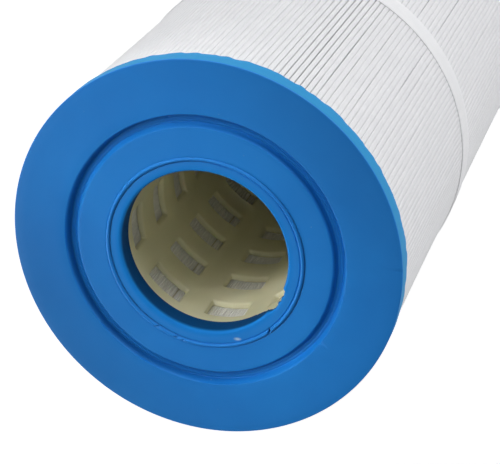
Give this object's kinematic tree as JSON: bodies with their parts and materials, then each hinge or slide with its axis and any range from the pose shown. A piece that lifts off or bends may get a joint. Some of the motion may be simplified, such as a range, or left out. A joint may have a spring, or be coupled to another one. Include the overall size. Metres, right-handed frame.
{
  "type": "pleated filter cartridge",
  "caption": "Cylindrical pleated water filter cartridge with soft cast end caps, an open bore through a perforated core, and flat retaining bands round the pleats.",
  "frame": {"origin": "centre of the lower end cap's outer face, where the cartridge stands", "axes": "+Z along the cartridge axis from the lower cap to the upper cap; +Y points to the side seam of the pleats; +X completes the right-handed frame"},
  "size_m": [0.126, 0.126, 0.338],
  "materials": {
    "end_cap": "cast polyurethane, semi-matte, light blue",
    "core": "moulded cream plastic, satin",
    "media": "white spun-bonded polyester, dry matte",
    "seam": "hardened adhesive, pale",
    "band": "white flat polyester band, smooth"
  },
  "bodies": {
    "root": {"end_cap_top": "end_cap", "end_cap_bottom": "end_cap", "core_upper": "core", "core_lower": "core", "pleated_media": "media", "side_seam": "seam", "band_upper": "band", "band_lower": "band"}
  },
  "joints": []
}
